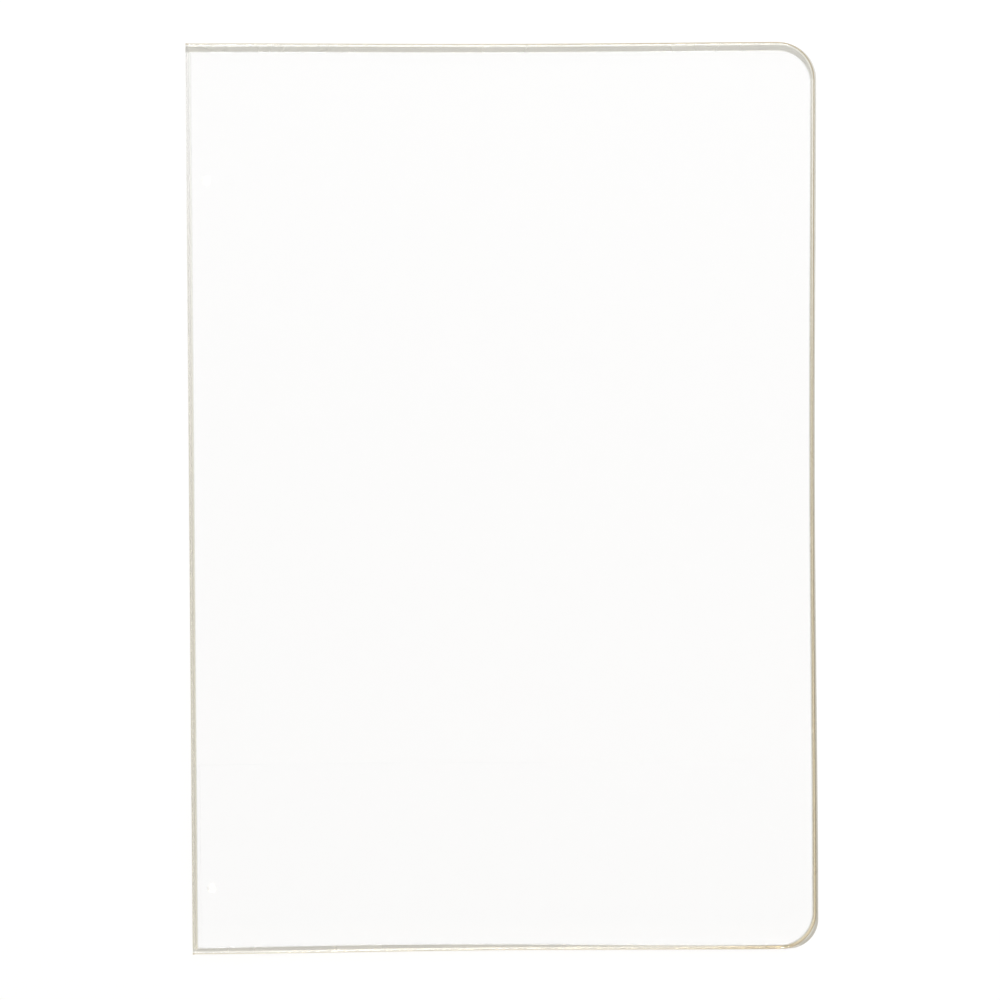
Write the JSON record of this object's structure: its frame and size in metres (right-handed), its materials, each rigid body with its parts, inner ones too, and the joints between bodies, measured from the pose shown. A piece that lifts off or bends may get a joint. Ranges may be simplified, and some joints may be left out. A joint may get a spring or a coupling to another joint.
{
  "type": "clear folding document cover",
  "caption": "Clear vinyl document cover for A4 paper, folded like a book, with welded edges, a front sleeve and a lower pocket with a cut corner.",
  "frame": {"origin": "under the middle of the closed cover, on the plane it lies on", "axes": "+X from the fold to the fore edge, +Y up the page, +Z out of the front of the closed cover"},
  "size_m": [0.2214, 0.32, 0.0025],
  "materials": {
    "clear_sheet": "clear glossy vinyl sheet",
    "clear_film": "clear glossy vinyl film",
    "weld": "pressed and welded vinyl, translucent warm grey"
  },
  "bodies": {
    "back_leaf": {"back_sheet": "clear_sheet", "back_edge_weld": "weld", "back_hinge_land": "weld", "pocket_film": "clear_film", "pocket_side_weld": "weld"},
    "spine": {"spine_strip": "weld"},
    "front_leaf": {"front_sheet": "clear_sheet", "front_edge_weld": "weld", "front_hinge_land": "weld", "front_film": "clear_film"}
  },
  "joints": [
    {"name": "spine_fold", "type": "hinge", "parent": "back_leaf", "child": "spine", "pos_m": [-0.1104, 0, 0.0003], "axis": [0, -1, 0], "range_deg": [0, 90]},
    {"name": "cover_fold", "type": "hinge", "parent": "spine", "child": "front_leaf", "pos_m": [-0.1104, 0, 0.0022], "axis": [0, -1, 0], "range_deg": [0, 90]}
  ]
}
